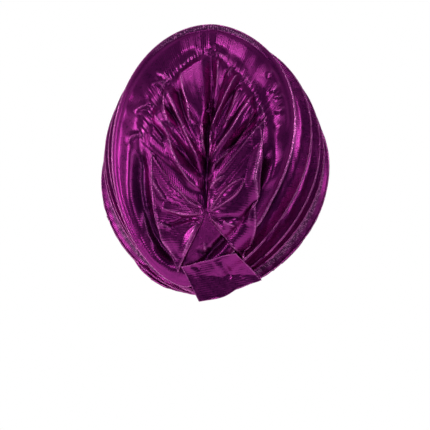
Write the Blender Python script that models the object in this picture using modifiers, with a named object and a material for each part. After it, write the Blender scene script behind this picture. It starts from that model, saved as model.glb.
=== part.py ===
"""A ready-tied pleated turban, gathered and tied at the back.

Metres, +Z up, the wearer facing +Y. The origin is the middle of the head opening,
half way between the forehead edge and the nape edge.
"""

import math

import bmesh
import bpy
from mathutils import Vector

# Head opening: the loop that grips the head, from the forehead down to the nape
HEAD_WIDTH = 0.150
HEAD_REACH = 0.156
HEAD_RISE = 0.104

# Outline of the whole turban, measured from the middle of the head opening. Front and
# nape keep pace with the head's length.
RIM_WIDTH = 0.244
TOP_HEIGHT = 0.2235
FRONT_REACH = HEAD_REACH * 2 / 3
NAPE_REACH = HEAD_REACH * 0.715
NAPE_DROP = 0.056
BACK_BULGE = 0.043
BULGE_RISE = 0.7
BULGE_FLATNESS = 2.4
BULGE_ROUNDNESS = 0.55
HOLLOW_SHARE = 0.27

# Cloth, and the room that two layers keep between them. A groove is no deeper than
# GROOVE_SHARE of its width, and a lap no wider than LAP_SHARE of it.
WALL = 0.0012
GAP = 0.0002
WELD = 0.00002
PLEAT_DEPTH = 0.011
WRAP_PLEAT_DEPTH = 0.006
WRAP_DIP_SHARE = 0.35
WRAP_SCOOP = 2.6
GROOVE_SHARE = 1.1
SEAM_LAP = 0.004
LAP_SHARE = 0.2

# Gathers of the back panel. A fold's crest leans towards its lower edge, swells out of
# the seam and ends sharply at the gathered line, where the cloth steps down.
SEAM_SIDE = 0.006
FOLD_HEIGHT = 0.0085
FOLD_LEAN = 0.8
FOLD_SHARPNESS = 2.2
FOLD_SWELL = 1.8
FOLD_END = 8
GATHER_STEP = 0.0025
STEP_WIDTH = 0.12
STEP_START = 0.4
STEP_GROWTH = 4
CREASE_DEPTH = 0.009
CREASE_WIDTH = 0.010
CREASE_ROUNDNESS = 0.4

# Tied ends at the back
WING_LIFT = 0.009
WING_FLARE = 1.4
WING_ROUNDNESS = 0.6
WING_FOLD = 0.005
LOBE_ROUNDNESS = 0.8
LOBE_REACH = 1.6
TAB_WIDTH = 0.078
TAB_HEIGHT = 0.046
TAB_TOP = -0.012
TAB_LIFT = 0.0022
TAB_STRAIGHT = 0.62
DRAPE_RADIUS = 0.030
WING_DRAPE = 0.0075
TAB_DRAPE = 0.010
SLOPE_STEP = 0.006

# Mesh fineness
LAYER_COLUMNS = 38
CROWN_COLUMNS = 92
PLEAT_ROWS = 4
EDGE_ROWS = 4
WRAP_ROWS = 9
BAND_ROWS = 3
WING_GRID = (10, 7)
TAB_GRID = (10, 6)
TURN_STEP = 0.01
HALVINGS = 12
END_MARGIN = 0.001

METALLIC = 0.75
PURPLE = (0.30, 0.035, 0.25, 1.0)
DEEP_PURPLE = (0.20, 0.02, 0.18, 1.0)
RIM_PURPLE = (0.33, 0.10, 0.30, 1.0)

# Crest lines of the layers, from the back panel's edge round to the forehead.
# nape_side, nape_back and nape_drop place the lowest point, as shares of RIM_WIDTH,
# NAPE_REACH and NAPE_DROP. top_front and top_height place the highest, as shares of
# FRONT_REACH and TOP_HEIGHT, and lean bends the line between them in side view.
# left and right are half widths as shares of half RIM_WIDTH. A peak is the height of
# the widest point as a share of the line's own height, and a pinch over 1 narrows the
# line towards its ends.
RING_COLUMNS = (
    "nape_side", "nape_back", "nape_drop", "top_front", "top_height", "lean",
    "left", "left_peak", "left_pinch", "right", "right_peak", "right_pinch",
)  # fmt: skip
RING_TABLE = {
    "crown_edge": (-0.06, 1.00, 0.82, -0.19, 1.00, 1.00, 0.740, 0.57, 0.98, 0.78, 0.590, 1.16),
    "pleat_1": (-0.045, 0.955, 0.88, 0.13, 0.97, 0.96, 0.830, 0.59, 1.02, 0.905, 0.575, 1.08),
    "pleat_2": (-0.03, 0.911, 0.93, 0.39, 0.93, 0.90, 0.905, 0.59, 1.04, 0.96, 0.555, 1.05),
    "pleat_3": (-0.02, 0.868, 0.97, 0.62, 0.88, 0.84, 0.95, 0.59, 1.05, 0.98, 0.555, 1.05),
    "rim": (-0.01, 0.825, 1.00, 0.88, 0.81, 0.78, 1.00, 0.543, 1.06, 1.01, 0.538, 0.92),
    "wrap_1": (-0.01, 0.782, 1.00, 0.965, 0.71, 0.78, 0.90, 0.535, 1.02, 0.88, 0.53, 1.00),
    "wrap_2": (-0.01, 0.777, 0.99, 1.00, 0.60, 0.80, 0.83, 0.51, 1.01, 0.82, 0.51, 1.00),
    "wrap_3": (-0.01, 0.771, 0.98, 0.985, 0.49, 0.83, 0.77, 0.48, 1.00, 0.76, 0.48, 1.00),
    "band": (-0.01, 0.722, 0.96, 0.94, 0.385, 0.83, 0.69, 0.48, 1.00, 0.69, 0.48, 1.00),
}

# Creases of the gathered back panel, from the top down. seam is where a crease starts at
# the centre seam, and left and right where it ends at the gathered line on each side, as
# shares of the way round from the nape to the top. A puff is how full the cloth stands
# above the crease, as a share of FOLD_HEIGHT, and 0 where that side has no crease.
CREASE_COLUMNS = ("seam", "left", "left_puff", "right", "right_puff")
CREASE_TABLE = (
    (0.90, 0.89, 0.0, 0.87, 0.7),
    (0.82, 0.79, 1.0, 0.79, 0.9),
    (0.74, 0.71, 0.8, 0.72, 1.0),
    (0.65, 0.63, 1.1, 0.65, 1.1),
    (0.57, 0.55, 0.9, 0.58, 0.8),
)
FOLD_COLUMNS = 6
GATHER_SHARE = 0.68
KNOT_SHARE = 0.115
SEAM_TOP_SHARE = 0.60
CREASE_TOP_SHARE = 0.90
CROWN_PLACES = (0.0, 0.10, 0.23, 0.37, 0.51, 0.63, 0.69, 0.83, 0.95)

# Wings: each edge has rows of places, sideways from the seam as a share of half
# RIM_WIDTH and up as a share of TOP_HEIGHT. The inner edge is gathered into the knot.
WINGS = {
    "left_wing": {
        "inner": ((-0.04, 0.155), (-0.02, 0.120), (-0.02, 0.095)),
        "outer": ((-0.47, 0.400), (-0.44, 0.200), (-0.38, 0.060), (-0.21, -0.130)),
    },
    "right_wing": {
        "inner": ((0.03, 0.240), (0.02, 0.160), (0.02, 0.095)),
        "outer": ((0.47, 0.560), (0.40, 0.320), (0.38, 0.100), (0.28, -0.095)),
    },
}
WING_LOBES = 2

# Tab edges, sideways from the seam as a share of TAB_WIDTH, and down from TAB_TOP as a
# share of TAB_HEIGHT
TAB_EDGES = {
    "top": ((-0.32, -0.30), (0.00, -0.16), (0.36, 0.00)),
    "bottom": ((-0.09, -1.07), (0.20, -1.00), (0.36, -0.79), (0.70, -0.62)),
}


def mix(a, b, share):
    return a + (b - a) * share


def bump(share):
    """A smooth hill, 1 at the middle and 0 from a share of 1 on."""
    return 0.5 + 0.5 * math.cos(math.pi * min(abs(share), 1.0))


def ring_side(cell, side):
    return {
        "half": cell[side] * RIM_WIDTH / 2,
        "power": math.log(cell[side + "_peak"]) / math.log(0.5),
        "pinch": cell[side + "_pinch"],
    }


def rings():
    """The crest lines and the loop that grips the head, in real places."""
    made = {}
    for name, row in RING_TABLE.items():
        cell = dict(zip(RING_COLUMNS, row))
        nape = (cell["nape_side"] * RIM_WIDTH, -cell["nape_back"] * NAPE_REACH,
                -cell["nape_drop"] * NAPE_DROP)  # fmt: skip
        top = (0, cell["top_front"] * FRONT_REACH, cell["top_height"] * TOP_HEIGHT)
        made[name] = {
            "nape": Vector(nape),
            "top": Vector(top),
            "lean": cell["lean"],
            "left": ring_side(cell, "left"),
            "right": ring_side(cell, "right"),
        }
    plain = {"half": HEAD_WIDTH / 2, "power": 1.0, "pinch": 1.0}
    made["grip"] = {
        "nape": Vector((0, -HEAD_REACH / 2, -HEAD_RISE / 2)),
        "top": Vector((0, HEAD_REACH / 2, HEAD_RISE / 2)),
        "lean": 1.0,
        "left": plain,
        "right": plain,
    }
    return made


RINGS = rings()
CREASES = [dict(zip(CREASE_COLUMNS, row)) for row in CREASE_TABLE]
HOLLOW = Vector((0, 0, TOP_HEIGHT * HOLLOW_SHARE))


def ring_point(name, side, turn):
    """A point of a crest line, on one side, turn going from 0 at the nape to 1 at the top."""
    ring = RINGS[name]
    shape = ring["right" if side > 0 else "left"]
    rise = turn ** shape["power"]
    across = (2 * math.sqrt(turn * (1 - turn))) ** shape["pinch"]
    return Vector((
        mix(ring["nape"].x, ring["top"].x, rise) + side * shape["half"] * across,
        mix(ring["nape"].y, ring["top"].y, rise ** ring["lean"]),
        mix(ring["nape"].z, ring["top"].z, rise),
    ))  # fmt: skip


def on_ring(name, angle):
    """A point of a crest line. The angle runs from the nape up the right side."""
    side = 1 if math.sin(angle) >= 0 else -1
    return ring_point(name, side, (1 - math.cos(angle)) / 2)


def ring_at_height(name, height, side):
    """The point of a crest line at a height on one side, or None beyond its ends."""
    ring = RINGS[name]
    rise = (height - ring["nape"].z) / (ring["top"].z - ring["nape"].z)
    if not 0 < rise < 1:
        return None
    shape = ring["right" if side > 0 else "left"]
    return ring_point(name, side, rise ** (1 / shape["power"]))


def inward(point):
    return (HOLLOW - point).normalized()


def groove(first, second, angle):
    """The line half way between two crest lines."""
    return (on_ring(first, angle) + on_ring(second, angle)) / 2


def sewn(first, second, angle, depth):
    """The bottom of the groove between two crest lines, the way across it towards the
    second line, and how far apart the lines are."""
    middle = groove(first, second, angle)
    along = groove(first, second, angle + TURN_STEP) - groove(first, second, angle - TURN_STEP)
    across = along.cross(inward(middle)).normalized()
    apart = (on_ring(second, angle) - on_ring(first, angle)).dot(across)
    valley = middle + inward(middle) * min(depth, GROOVE_SHARE * abs(apart))
    return valley, across * math.copysign(1, apart), abs(apart)


def layer_end(first, second, angle, depth=PLEAT_DEPTH):
    """Where the first layer is sewn down in the groove."""
    valley, across, _ = sewn(first, second, angle, depth)
    return valley - across * (WALL + GAP)


def layer_start(first, second, angle, depth=PLEAT_DEPTH):
    """The lap of the second layer under the end of the first, and where it comes up."""
    valley, across, apart = sewn(first, second, angle, depth)
    below = valley + inward(valley) * (WALL + 4 * GAP)
    return below - across * min(SEAM_LAP, LAP_SHARE * apart), below + across * (WALL + GAP)


def curve_through(start, crest, end, share):
    """A parabola from start to end whose middle is at crest."""
    pull = crest * 2 - (start + end) / 2
    return start * (1 - share) ** 2 + pull * 2 * share * (1 - share) + end * share**2


def seam_side(z):
    """Sideways place of the centre seam, which leans below the knot and above the gathers."""
    edge = RINGS["crown_edge"]
    low = KNOT_SHARE * TOP_HEIGHT
    high = SEAM_TOP_SHARE * TOP_HEIGHT
    if z < low:
        return mix(SEAM_SIDE, edge["nape"].x, min((low - z) / (low - edge["nape"].z), 1))
    if z > high:
        return mix(SEAM_SIDE, edge["top"].x, min((z - high) / (edge["top"].z - high), 1))
    return SEAM_SIDE


def fan(side, share, out):
    """Sideways place and height on the back panel. share runs from nape to top, and out
    from the centre seam to the edge."""
    edge = on_ring("crown_edge", side * math.pi * share)
    seam = mix(KNOT_SHARE, SEAM_TOP_SHARE, max(2 * share - 1, 0)) * TOP_HEIGHT
    return Vector((mix(SEAM_SIDE, edge.x, out), mix(seam, edge.z, out)))


def fan_place(side, x, z):
    """The share and out of a point on the back panel."""
    low, high = 0.0, 1.0
    point = Vector((x, z))
    for _ in range(HALVINGS):
        share = (low + high) / 2
        start = fan(side, share, 0)
        ray = fan(side, share, 1) - start
        reach = point - start
        if side * (ray.x * reach.y - ray.y * reach.x) > 0:
            low = share
        else:
            high = share
    return share, min(max(reach.dot(ray) / ray.length_squared, 0.0), 1.0)


def dome_depth(x, z):
    """Depth of the back panel without its gathers."""
    edge = RINGS["crown_edge"]
    low, high = edge["nape"].z, edge["top"].z
    rise = min(max((z - low) / (high - low), END_MARGIN), 1 - END_MARGIN)
    side = 1 if x > seam_side(z) else -1
    beside = ring_at_height("crown_edge", mix(low, high, rise), side)
    out = min(abs((x - seam_side(z)) / (beside.x - seam_side(z))), 1.0)
    roundness = (1 - out**BULGE_FLATNESS) ** BULGE_ROUNDNESS
    return beside.y - BACK_BULGE * math.sin(math.pi * rise) ** BULGE_RISE * roundness


def column_share(side, column, out):
    """The share that a column of cloth has reached. Each fold takes FOLD_COLUMNS columns
    and the plain cloth below the last crease takes the rest."""
    reach = min(out / GATHER_SHARE, 1.0)
    name = "right" if side > 0 else "left"
    plain = CROWN_COLUMNS / 2 - FOLD_COLUMNS * len(CREASES)
    stops = [mix(cell["seam"], cell[name], reach) for cell in reversed(CREASES)] + [1.0]
    if column <= plain:
        return stops[0] * column / plain
    passed = (column - plain) / FOLD_COLUMNS
    step = min(int(passed), len(CREASES) - 1)
    return mix(stops[step], stops[step + 1], passed - step)


def gathers(side, share, out):
    """How far the gathered cloth stands off the dome."""
    reach = min(out / GATHER_SHARE, 1.0)
    name = "right" if side > 0 else "left"
    puff = 0.0
    above = 1.0
    for cell in CREASES:
        full = cell[name + "_puff"]
        below = mix(cell["seam"], cell[name], reach)
        if not full:
            continue
        if below < share <= above:
            across = (share - below) / (above - below)
            puff = full * (1 - abs(2 * across**FOLD_LEAN - 1) ** FOLD_SHARPNESS)
        above = below
    swell = math.sin(math.pi / 2 * min(FOLD_SWELL * reach, 1.0)) * min(FOLD_END * (1 - reach), 1.0)
    step = GATHER_STEP * bump((out - GATHER_SHARE) / STEP_WIDTH)
    upper = min(max(STEP_GROWTH * (share - STEP_START), 0.0), 1.0)
    return FOLD_HEIGHT * puff * swell - step * upper


def crease(x, z):
    """Depth of the groove down the centre seam, deepest where the folds meet."""
    low, high = KNOT_SHARE, CREASE_TOP_SHARE
    along = (z / TOP_HEIGHT - low) / (high - low)
    ends = math.sin(math.pi * min(max(along, 0.0), 1.0)) ** CREASE_ROUNDNESS
    return CREASE_DEPTH * bump((x - SEAM_SIDE) / CREASE_WIDTH) * ends


def back_depth(x, z):
    """Depth of the back panel with its gathers and its centre groove."""
    side = 1 if x > seam_side(z) else -1
    share, out = fan_place(side, x, z)
    return dome_depth(x, z) - gathers(side, share, out) + crease(x, z)


def layers_depth(x, z):
    """Depth of the outermost cloth at the back, on the panel or across the crest lines."""
    side = 1 if x > seam_side(z) else -1
    passed = None
    for name in ("crown_edge", "pleat_1", "pleat_2", "pleat_3", "rim"):
        found = ring_at_height(name, z, side)
        if found is None:
            continue
        if side * (found.x - x) >= 0:
            if passed is None and name == "crown_edge":
                return back_depth(x, z)
            if passed is None:
                return found.y
            return mix(passed.y, found.y, (x - passed.x) / (found.x - passed.x))
        passed = found
    return passed.y if passed else -NAPE_REACH


def draped_depth(x, z, radius, reach, steps=2):
    """Depth of a sheet that bridges the hollows of the layers like a ball rolled over them."""
    offsets = [reach * k / steps for k in range(-steps, steps + 1)]
    return min(
        layers_depth(x + aside, z + up) + (aside**2 + up**2) / (2 * radius)
        for aside in offsets
        for up in offsets
    )


def stand_off(depth, x, z, lift):
    """The point of a sheet that stands off a depth function by lift, square to it."""
    step = SLOPE_STEP
    slope_x = (depth(x + step, z) - depth(x - step, z)) / (2 * step)
    slope_z = (depth(x, z + step) - depth(x, z - step)) / (2 * step)
    return Vector((x, depth(x, z), z)) + Vector((slope_x, -1, slope_z)).normalized() * lift


def fabric(name, colour, roughness):
    material = bpy.data.materials.new(name)
    material.use_nodes = True
    shader = material.node_tree.nodes["Principled BSDF"]
    shader.inputs["Base Color"].default_value = colour
    shader.inputs["Roughness"].default_value = roughness
    shader.inputs["Metallic"].default_value = METALLIC
    material.diffuse_color = colour
    return material


def lay_cloth(name, place, columns, rows, material):
    """A flat grid of cloth moved to its place and given its wall on the outer side."""
    mesh = bpy.data.meshes.new(name)
    cloth = bmesh.new()
    bmesh.ops.create_grid(cloth, x_segments=columns, y_segments=rows, size=0.5)
    for vert in cloth.verts:
        vert.co = place(vert.co.x + 0.5, vert.co.y + 0.5)
    bmesh.ops.remove_doubles(cloth, verts=cloth.verts, dist=WELD)
    bmesh.ops.recalc_face_normals(cloth, faces=cloth.faces)
    facing = sum(
        face.normal.dot(face.calc_center_median() - HOLLOW) * face.calc_area()
        for face in cloth.faces
    )
    if facing < 0:
        bmesh.ops.reverse_faces(cloth, faces=cloth.faces)
    cloth.to_mesh(mesh)
    cloth.free()
    mesh.shade_smooth()
    mesh.materials.append(material)
    sheet = bpy.data.objects.new(name, mesh)
    bpy.data.collections["turban"].objects.link(sheet)
    wall = sheet.modifiers.new("wall", "SOLIDIFY")
    wall.thickness = WALL
    wall.offset = 1.0
    return sheet


def make_crown(material):
    """The gathered back panel, turned in over its edge to the first groove."""
    panel_rows = len(CROWN_PLACES) - 1
    rows = panel_rows + EDGE_ROWS

    def panel(side, column, out):
        share = column_share(side, column, out)
        x, z = fan(side, share, out)
        return Vector((x, dome_depth(x, z) - gathers(side, share, out) + crease(x, z), z))

    def place(around, along):
        column = CROWN_COLUMNS * min(around, 1 - around)
        side = 1 if around < 0.5 else -1
        row = round(along * rows)
        if row <= panel_rows:
            return panel(side, column, CROWN_PLACES[row])
        angle = side * math.pi * column_share(side, column, 1)
        end = layer_end("crown_edge", "pleat_1", angle)
        turned = panel(side, column, CROWN_PLACES[-1])
        crest = on_ring("crown_edge", angle)
        return curve_through(turned, crest, end, (row - panel_rows) / EDGE_ROWS)

    return lay_cloth("crown", place, CROWN_COLUMNS, rows, material)


def make_pleat(name, before, after, material):
    """One layer of the side pleats: a folded strip that stands up between two grooves."""
    rows = PLEAT_ROWS + 1

    def place(around, along):
        angle = 2 * math.pi * around
        row = round(along * rows)
        lap, start = layer_start(before, name, angle)
        if row == 0:
            return lap
        end = layer_end(name, after, angle)
        return curve_through(start, on_ring(name, angle), end, (row - 1) / PLEAT_ROWS)

    return lay_cloth(name, place, LAYER_COLUMNS, rows, material)


def make_front_wrap(material):
    """The front panel between rim and forehead band, in three lapped folds."""

    rows = WRAP_ROWS + 1

    def place(around, along):
        angle = 2 * math.pi * around
        row = round(along * rows)
        lap, start = layer_start("rim", "wrap_1", angle)
        if row == 0:
            return lap
        stops = [start]
        stops += [on_ring(name, angle) for name in ("wrap_1", "wrap_2", "wrap_3")]
        stops += [layer_end("wrap_3", "band", angle, WRAP_PLEAT_DEPTH)]
        reach = (row - 1) / WRAP_ROWS * (len(stops) - 1)
        step = min(int(reach), len(stops) - 2)
        share = reach - step
        a, b = stops[step], stops[step + 1]
        point = a.lerp(b, share)
        dip = min(WRAP_PLEAT_DEPTH, WRAP_DIP_SHARE * (b - a).length)
        scoop = WRAP_SCOOP * share * (1 - share) if 0 < step < len(stops) - 2 else 0
        return point + inward(point) * dip * scoop

    return lay_cloth("front_wrap", place, LAYER_COLUMNS, rows, material)


def make_front_band(material):
    """The band round the face that grips the head."""
    rows = BAND_ROWS + 1

    def place(around, along):
        angle = 2 * math.pi * around
        row = round(along * rows)
        lap, start = layer_start("wrap_3", "band", angle, WRAP_PLEAT_DEPTH)
        if row == 0:
            return lap
        crest = on_ring("band", angle)
        return curve_through(start, crest, on_ring("grip", angle), (row - 1) / BAND_ROWS)

    return lay_cloth("front_band", place, LAYER_COLUMNS, rows, material)


def along_edge(rows, share):
    """A point on an edge given by its rows, joined by a smooth curve."""
    reach = share * (len(rows) - 1)
    step = min(int(reach), len(rows) - 2)
    t = reach - step
    p1, p2 = Vector(rows[step]), Vector(rows[step + 1])
    p0 = Vector(rows[step - 1]) if step > 0 else p1 * 2 - p2
    p3 = Vector(rows[step + 2]) if step + 2 < len(rows) else p2 * 2 - p1
    bend = (2 * p0 - 5 * p1 + 4 * p2 - p3) * t**2 + (3 * p1 - p0 - 3 * p2 + p3) * t**3
    return 0.5 * (2 * p1 + (p2 - p0) * t + bend)


def make_wing(name, material):
    """A tied end that spreads from the knot and stands off at its outer edge."""
    edges = WINGS[name]
    clear = WALL + 2 * GAP

    def depth(x, z):
        return draped_depth(x, z, DRAPE_RADIUS, WING_DRAPE)

    def place(down, out):
        flat = along_edge(edges["inner"], down).lerp(along_edge(edges["outer"], down), out)
        x = SEAM_SIDE + flat.x * RIM_WIDTH / 2
        z = flat.y * TOP_HEIGHT
        lift = WING_LIFT * out**WING_FLARE * bump(2 * down - 1) ** WING_ROUNDNESS
        wave = abs(math.sin(math.pi * WING_LOBES * down)) ** LOBE_ROUNDNESS
        lobe = WING_FOLD * wave * out * (LOBE_REACH - out)
        return stand_off(depth, x, z, clear + lift + lobe)

    return lay_cloth(name, place, *WING_GRID, material)


def make_tab(material):
    """The folded tail that wraps the layers at the nape."""
    clear = WALL + 2 * GAP
    straight = -TAB_STRAIGHT * NAPE_DROP

    def depth(x, z):
        return draped_depth(x, max(z, straight), DRAPE_RADIUS, TAB_DRAPE)

    def place(across, up):
        bottom = along_edge(TAB_EDGES["bottom"], across)
        flat = bottom.lerp(along_edge(TAB_EDGES["top"], across), up)
        x = SEAM_SIDE + flat.x * TAB_WIDTH
        return stand_off(depth, x, TAB_TOP + flat.y * TAB_HEIGHT, clear + TAB_LIFT * up)

    return lay_cloth("nape_tab", place, *TAB_GRID, material)


def main():
    for obj in list(bpy.data.objects):
        bpy.data.objects.remove(obj, do_unlink=True)
    turban = bpy.data.collections.new("turban")
    bpy.context.scene.collection.children.link(turban)
    sheen = fabric("shiny_cloth", PURPLE, 0.3)
    deep = fabric("inner_cloth", DEEP_PURPLE, 0.35)
    ribbed = fabric("ribbed_rim", RIM_PURPLE, 0.4)
    make_crown(sheen)
    order = ("crown_edge", "pleat_1", "pleat_2", "pleat_3", "rim", "wrap_1")
    for before, name, after in zip(order, order[1:], order[2:]):
        make_pleat(name, before, after, ribbed if name == "rim" else sheen)
    make_front_wrap(sheen)
    make_front_band(deep)
    for name in WINGS:
        make_wing(name, sheen)
    make_tab(sheen)


main()
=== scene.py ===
import math

import bmesh
import bpy
import numpy as np
from mathutils import Matrix, Vector
from mathutils.bvhtree import BVHTree


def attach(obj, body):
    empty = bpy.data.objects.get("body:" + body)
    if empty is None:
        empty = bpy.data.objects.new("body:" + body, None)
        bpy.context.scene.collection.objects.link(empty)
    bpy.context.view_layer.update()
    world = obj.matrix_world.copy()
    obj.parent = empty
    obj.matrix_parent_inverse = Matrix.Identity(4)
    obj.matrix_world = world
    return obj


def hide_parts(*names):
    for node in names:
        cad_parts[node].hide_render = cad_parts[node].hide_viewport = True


# A ready-tied pleated turban of shiny purple cloth, seen from the back.
# Metres, +Z up, the wearer facing +Y, the origin in the middle of the head opening.

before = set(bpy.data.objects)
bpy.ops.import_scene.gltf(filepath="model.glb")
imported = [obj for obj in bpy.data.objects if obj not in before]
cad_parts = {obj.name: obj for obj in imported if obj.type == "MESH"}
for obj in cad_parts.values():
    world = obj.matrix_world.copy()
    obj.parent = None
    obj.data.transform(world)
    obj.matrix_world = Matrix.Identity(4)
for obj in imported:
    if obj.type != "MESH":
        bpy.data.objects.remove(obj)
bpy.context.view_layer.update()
print("frame loaded")

# The sizes that all the layers follow
turban = {
    "headWidth": 0.150,
    "headReach": 0.156,
    "headRise": 0.104,
    "rimWidth": 0.244,
    "topHeight": 0.2235,
    "frontReach": 0.104,
    "napeReach": 0.11154,
    "napeDrop": 0.056,
    "backBulge": 0.043,
    "pleatDepth": 0.011,
    "wrapPleatDepth": 0.006,
    "seamLap": 0.004,
    "seamSide": 0.006,
    "cloth": 0.0009,  # thickness of the shown cloth
    "proud": 0.0010,  # how far the shown face stands off the inner face of a wall
    "slit": 0.0005,  # half the gap left where two layers are sewn down side by side
}
hollow = np.array([0, 0, turban["topHeight"] * 0.27])

# Crest lines of the layers: where the lowest and the highest point are, how the line leans,
# then half width, height of the widest point and pinch for the left and for the right
ringColumns = (
    "napeSide", "napeBack", "napeDrop", "topFront", "topHeight", "lean",
    "leftHalf", "leftPeak", "leftPinch", "rightHalf", "rightPeak", "rightPinch",
)
ringTable = {
    "crownEdge": (-0.06, 1.00, 0.82, -0.19, 1.00, 1.00, 0.740, 0.57, 0.98, 0.78, 0.590, 1.16),
    "pleat1": (-0.045, 0.955, 0.88, 0.13, 0.97, 0.96, 0.830, 0.59, 1.02, 0.905, 0.575, 1.08),
    "pleat2": (-0.03, 0.911, 0.93, 0.39, 0.93, 0.90, 0.905, 0.59, 1.04, 0.96, 0.555, 1.05),
    "pleat3": (-0.02, 0.868, 0.97, 0.62, 0.88, 0.84, 0.95, 0.59, 1.05, 0.98, 0.555, 1.05),
    "rim": (-0.01, 0.825, 1.00, 0.88, 0.81, 0.78, 1.00, 0.543, 1.06, 1.01, 0.538, 0.92),
    "wrap1": (-0.01, 0.782, 1.00, 0.965, 0.71, 0.78, 0.90, 0.535, 1.02, 0.88, 0.53, 1.00),
    "wrap2": (-0.01, 0.777, 0.99, 1.00, 0.60, 0.80, 0.83, 0.51, 1.01, 0.82, 0.51, 1.00),
    "wrap3": (-0.01, 0.771, 0.98, 0.985, 0.49, 0.83, 0.77, 0.48, 1.00, 0.76, 0.48, 1.00),
    "band": (-0.01, 0.722, 0.96, 0.94, 0.385, 0.83, 0.69, 0.48, 1.00, 0.69, 0.48, 1.00),
}


def mix(a, b, share):
    return a + (b - a) * share


def hill(share):
    # 1 at the middle, 0 from a share of 1 on
    return 0.5 + 0.5 * np.cos(np.pi * np.minimum(np.abs(share), 1))


def ramp(value, low, high):
    # 0 below low, 1 above high, smooth between
    share = np.clip((value - low) / (high - low), 0, 1)
    return share * share * (3 - 2 * share)


def spaced(*runs):
    # places along a sheet, closer together in some runs: first, last and count of each
    return np.concatenate([np.linspace(*run) for run in runs])


def unit(vectors):
    return vectors / np.maximum(np.linalg.norm(vectors, axis=-1, keepdims=True), 1e-9)


def makeRings():
    made = {}
    for name, row in ringTable.items():
        cell = dict(zip(ringColumns, row))
        ring = {
            "nape": (cell["napeSide"] * turban["rimWidth"], -cell["napeBack"] * turban["napeReach"],
                     -cell["napeDrop"] * turban["napeDrop"]),
            "top": (0, cell["topFront"] * turban["frontReach"], cell["topHeight"] * turban["topHeight"]),
            "lean": cell["lean"],
        }
        for side in ("left", "right"):
            power = math.log(cell[side + "Peak"]) / math.log(0.5)
            ring[side] = (cell[side + "Half"] * turban["rimWidth"] / 2, power, cell[side + "Pinch"])
        made[name] = ring
    half = turban["headReach"] / 2, turban["headRise"] / 2
    plain = (turban["headWidth"] / 2, 1, 1)
    made["grip"] = {"nape": (0, -half[0], -half[1]), "top": (0, half[0], half[1]),
                    "lean": 1, "left": plain, "right": plain}
    return made


rings = makeRings()


def onRing(name, angle):
    # points of a crest line, the angle running from the nape up the right side
    ring = rings[name]
    turn = np.clip((1 - np.cos(angle)) / 2, 0, 1)
    right = np.sin(angle) >= 0
    half, power, pinch = (np.where(right, ring["right"][k], ring["left"][k]) for k in range(3))
    rise = turn**power
    across = (2 * np.sqrt(turn * (1 - turn))) ** pinch
    low, high = ring["nape"], ring["top"]
    return np.stack([
        mix(low[0], high[0], rise) + np.where(right, 1, -1) * half * across,
        mix(low[1], high[1], rise ** ring["lean"]),
        mix(low[2], high[2], rise),
    ], -1)


def inward(points):
    return unit(hollow - points)


def groove(first, second, angle, depth):
    # bottom of the groove between two crest lines, the way across it and how wide it is
    def middleAt(a):
        return (onRing(first, a) + onRing(second, a)) / 2

    middle = middleAt(angle)
    along = middleAt(angle + 0.01) - middleAt(angle - 0.01)
    across = unit(np.cross(along, inward(middle)))
    apart = ((onRing(second, angle) - onRing(first, angle)) * across).sum(-1, keepdims=True)
    valley = middle + inward(middle) * np.minimum(depth, 1.1 * np.abs(apart))
    return valley, across * np.sign(apart), np.abs(apart)


def layerEnd(first, second, angle, depth):
    valley, across, _ = groove(first, second, angle, depth)
    return valley - across * turban["slit"]


def layerStart(first, second, angle, depth):
    # the lap under the layer before, and where this layer comes up beside it
    valley, across, apart = groove(first, second, angle, depth)
    below = valley + inward(valley) * 2 * turban["cloth"]
    return below - across * np.minimum(turban["seamLap"], 0.2 * apart), valley + across * turban["slit"]


# Small irregular waves, the same on each run
draws = np.random.default_rng(41)


def waves(count, around, across):
    # each wave: turns round the piece, turns across it, phase and weight
    return [(draws.integers(*around), draws.uniform(*across), draws.uniform(0, 6.28), draws.uniform(0.5, 1))
            for _ in range(count)]


def ripple(group, around, across):
    total = sum(weight * np.sin(2 * np.pi * (k * around + m * across) + phase)
                for k, m, phase, weight in group)
    return total / sum(weight for *_, weight in group)


def ridges(value):
    # turns waves into thin sharp creases, 1 on a crease and 0 away from it
    return (1 - np.minimum(np.abs(value) * 2.2, 1)) ** 2


def drawn(x, z, lines):
    # ridges drawn on the back in mm: points, height, and how wide they are to the left and
    # right hand of the way they run. Gives the tallest at each place, and a mark on the lines that gets a
    # painted highlight
    tallest, marked = np.zeros_like(x), np.zeros_like(x)
    for points, height, left, right in lines:
        points = np.array(points) / 1000
        steps = np.linalg.norm(np.diff(points, axis=0), axis=1)
        total, passed = steps.sum(), 0
        nearest, hand, place = np.full_like(x, 9.0), np.zeros_like(x), np.zeros_like(x)
        for a, b, step in zip(points, points[1:], steps):
            way = (b - a) / step
            along = np.clip((x - a[0]) * way[0] + (z - a[1]) * way[1], 0, step)
            aside = way[0] * (z - a[1]) - way[1] * (x - a[0])
            gap = np.hypot(x - a[0] - way[0] * along, z - a[1] - way[1] * along)
            closer = gap < nearest
            nearest, hand = np.where(closer, gap, nearest), np.where(closer, aside, hand)
            place = np.where(closer, (passed + along) / total, place)
            passed += step
        width = np.where(hand > 0, left, right) / 1000
        taper = np.sin(np.pi * np.clip(place, 0, 1)) ** 0.4
        tall = height / 1000 * np.clip(1 - nearest / width, 0, 1) ** 1.25 * taper
        tallest = np.maximum(tallest, tall)
        marked = np.maximum(marked, np.clip(1 - nearest / 0.0016, 0, 1) * taper)
    return tallest, marked


def sunken(height, closed, spread):
    # how far each place lies below the places around it, 1 at the bottom of a deep fold, which sets the
    # painted shade
    even = height
    for _ in range(spread):
        padded = np.pad(even, ((0, 0), (1, 1)), "edge")
        even = (padded[:, :-2] + 2 * even + padded[:, 2:]) / 4
        padded = np.pad(even, ((1, 1), (0, 0)), "wrap" if closed else "edge")
        even = (padded[:-2] + 2 * even + padded[2:]) / 4
    return np.clip((even - height) / 0.0012, 0, 1)


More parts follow.
